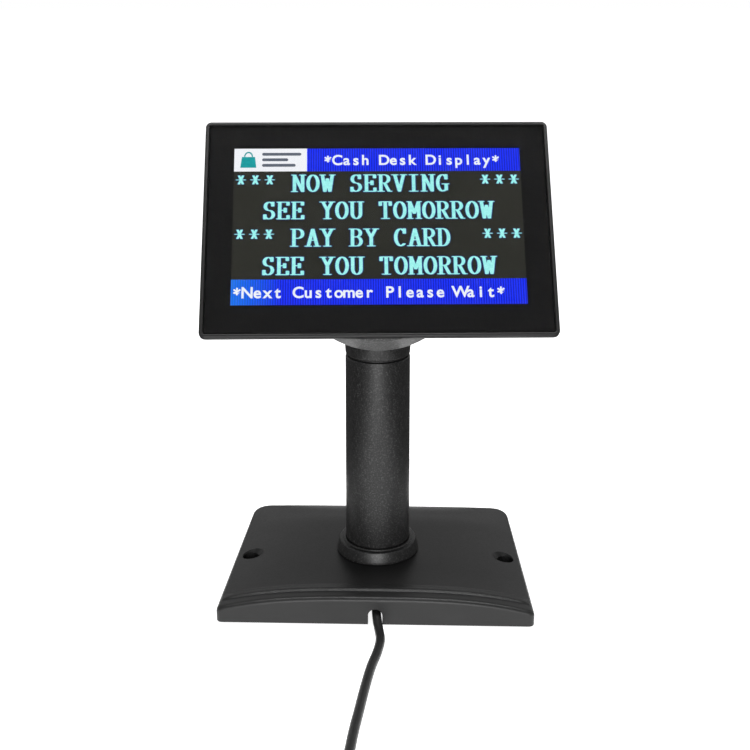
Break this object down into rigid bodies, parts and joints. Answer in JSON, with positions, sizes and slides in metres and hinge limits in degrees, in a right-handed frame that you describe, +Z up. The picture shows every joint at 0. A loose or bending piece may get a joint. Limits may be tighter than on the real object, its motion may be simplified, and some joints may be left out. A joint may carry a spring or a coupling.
{
  "type": "customer pole display",
  "caption": "Tilting, swivelling customer display: landscape screen in a thin frame on a round pole, with an arched weighted base and a lead from the front.",
  "frame": {"origin": "on the ground, under the centre of the base", "axes": "+Z up; the screen faces -Y, tilted back and turned 2.9 degrees towards +X; +X to the right as seen from the front"},
  "size_m": [0.1885, 0.3552, 0.2602],
  "materials": {
    "housing_plastic": "satin black moulding",
    "textured_coating": "fine-grained black",
    "dark_plastic": "plain black",
    "cover_glass": "clear glass with a black printed border",
    "screen": "lit LCD",
    "zinc_steel": "zinc plated",
    "black_steel": "black oxide",
    "circuit_board": "solder mask",
    "ribbon": "polyimide",
    "rubber": "matt",
    "cord_pvc": "satin",
    "white_plastic": "satin"
  },
  "bodies": {
    "base": {"base_shell": "housing_plastic", "weight_plate": "black_steel", "foot_1": "rubber", "foot_2": "rubber", "foot_3": "rubber", "foot_4": "rubber", "plate_screw_1": "zinc_steel", "plate_screw_2": "zinc_steel", "plate_screw_3": "zinc_steel", "plate_screw_4": "zinc_steel", "pole_screw_1": "zinc_steel", "pole_screw_2": "zinc_steel", "clamp_screw_1": "zinc_steel", "clamp_screw_2": "zinc_steel", "lead_clamp": "dark_plastic", "pole_tube": "textured_coating", "foot_collar": "textured_coating", "foot_bush": "dark_plastic", "top_bush": "dark_plastic", "pole_lead": "cord_pvc", "cord": "cord_pvc", "cord_coil": "cord_pvc", "cord_tie": "rubber", "plug_body": "rubber", "plug_shell": "zinc_steel", "plug_insert": "white_plastic"},
    "neck": {"neck_yoke": "textured_coating", "swivel_stem": "zinc_steel", "swivel_washer": "zinc_steel", "swivel_nut": "zinc_steel"},
    "head": {"front_frame": "housing_plastic", "cover_glass": "cover_glass", "lcd_panel": "screen", "backlight_can": "zinc_steel", "controller_board": "circuit_board", "panel_ribbon": "ribbon", "rear_cover": "textured_coating", "hinge_plate": "textured_coating", "hinge_plate_screw_1": "zinc_steel", "hinge_plate_screw_2": "zinc_steel", "hinge_plate_screw_3": "zinc_steel", "hinge_plate_screw_4": "zinc_steel", "cover_screw_1": "zinc_steel", "cover_screw_2": "zinc_steel", "cover_screw_3": "zinc_steel", "cover_screw_4": "zinc_steel", "board_screw_1": "zinc_steel", "board_screw_2": "zinc_steel", "board_screw_3": "zinc_steel", "board_screw_4": "zinc_steel", "hinge_bolt": "black_steel", "hinge_washer_left": "zinc_steel", "hinge_washer_right": "zinc_steel", "hinge_nut": "black_steel"}
  },
  "joints": [
    {"name": "head_swivel", "type": "hinge", "parent": "base", "child": "neck", "pos_m": [0, -0.0065, 0.137], "axis": [0, 0, 1], "range_deg": [-152, 152]},
    {"name": "head_tilt", "type": "hinge", "parent": "neck", "child": "head", "pos_m": [0.00015, -0.0095, 0.1645], "axis": [0.9987, 0.0506, 0], "range_deg": [-25, 20]}
  ]
}
